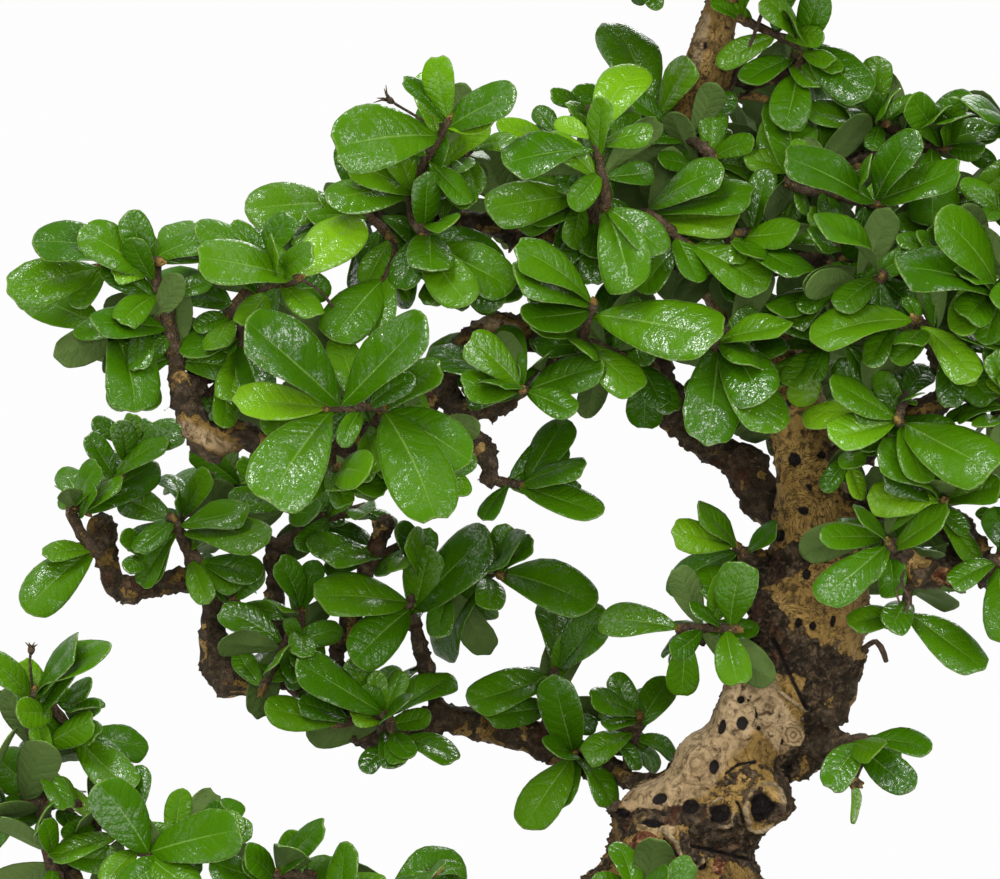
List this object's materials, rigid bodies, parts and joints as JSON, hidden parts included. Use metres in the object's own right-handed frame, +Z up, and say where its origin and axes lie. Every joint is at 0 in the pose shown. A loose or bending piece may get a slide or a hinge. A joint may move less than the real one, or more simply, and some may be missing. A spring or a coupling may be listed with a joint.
{
  "type": "fukien tea bonsai in a pot",
  "caption": "Small potted tree with an S-curved trunk, crooked branches with cut stumps, and tufts of glossy spoon-shaped leaves, in a plain oblong clay pot.",
  "frame": {"origin": "on the ground, below the middle of the whole object's box", "axes": "+Z up, +X to the right of the pictured side, +Y away from its viewer"},
  "size_m": [0.326, 0.1944, 0.423],
  "materials": {
    "clay": "matte dark brown fired clay, unglazed",
    "soil": "dark gritty potting soil with small grains",
    "bark": "tan to grey-brown bark with black rough patches and cut scars",
    "leaf": "glossy dark green leaves, young ones yellow-green"
  },
  "bodies": {
    "root": {"pot": "clay", "soil": "soil", "trunk_and_branches": "bark", "spray_left_tip": "leaf", "spray_left_crook": "leaf", "spray_left_heart": "leaf", "spray_left_under": "leaf", "spray_left_hanger": "leaf", "spray_left_bend": "leaf", "spray_middle_low": "leaf", "spray_trunk_front": "leaf", "spray_pad_left": "leaf", "spray_pad_edge": "leaf", "spray_pad_middle": "leaf", "spray_pad_right": "leaf", "spray_neck": "leaf", "spray_neck_front": "leaf", "spray_top_twig": "leaf", "spray_upper_right_a": "leaf", "spray_upper_right_b": "leaf", "spray_upper_right_c": "leaf", "spray_right_front_a": "leaf", "spray_right_front_b": "leaf", "spray_right_fork": "leaf", "spray_right_middle_a": "leaf", "spray_right_middle_b": "leaf", "spray_right_low_a": "leaf", "spray_right_low_b": "leaf", "spray_right_low_c": "leaf", "spray_right_low_d": "leaf", "spray_trunk_stub": "leaf", "spray_trunk_twig": "leaf", "spray_trunk_low": "leaf", "spray_trunk_foot": "leaf", "spray_low_middle": "leaf", "spray_low_trunk": "leaf", "spray_low_riser": "leaf", "spray_low_fan": "leaf", "spray_low_heart": "leaf", "spray_low_left": "leaf", "spray_low_tip": "leaf", "spray_low_end": "leaf", "spray_low_back": "leaf", "spray_base_shoot": "leaf", "spray_base_fork": "leaf", "spray_base_left_c": "leaf", "spray_base_right": "leaf", "spray_back_low": "leaf", "spray_back_middle": "leaf", "spray_back_heart": "leaf", "spray_back_left": "leaf", "spray_back_right": "leaf", "spray_crown_left": "leaf", "spray_crown_right": "leaf", "spray_crown_front": "leaf", "spray_crown_back": "leaf", "spray_crown_top": "leaf", "spray_crown_peak": "leaf", "spray_crown_side": "leaf"}
  },
  "joints": []
}
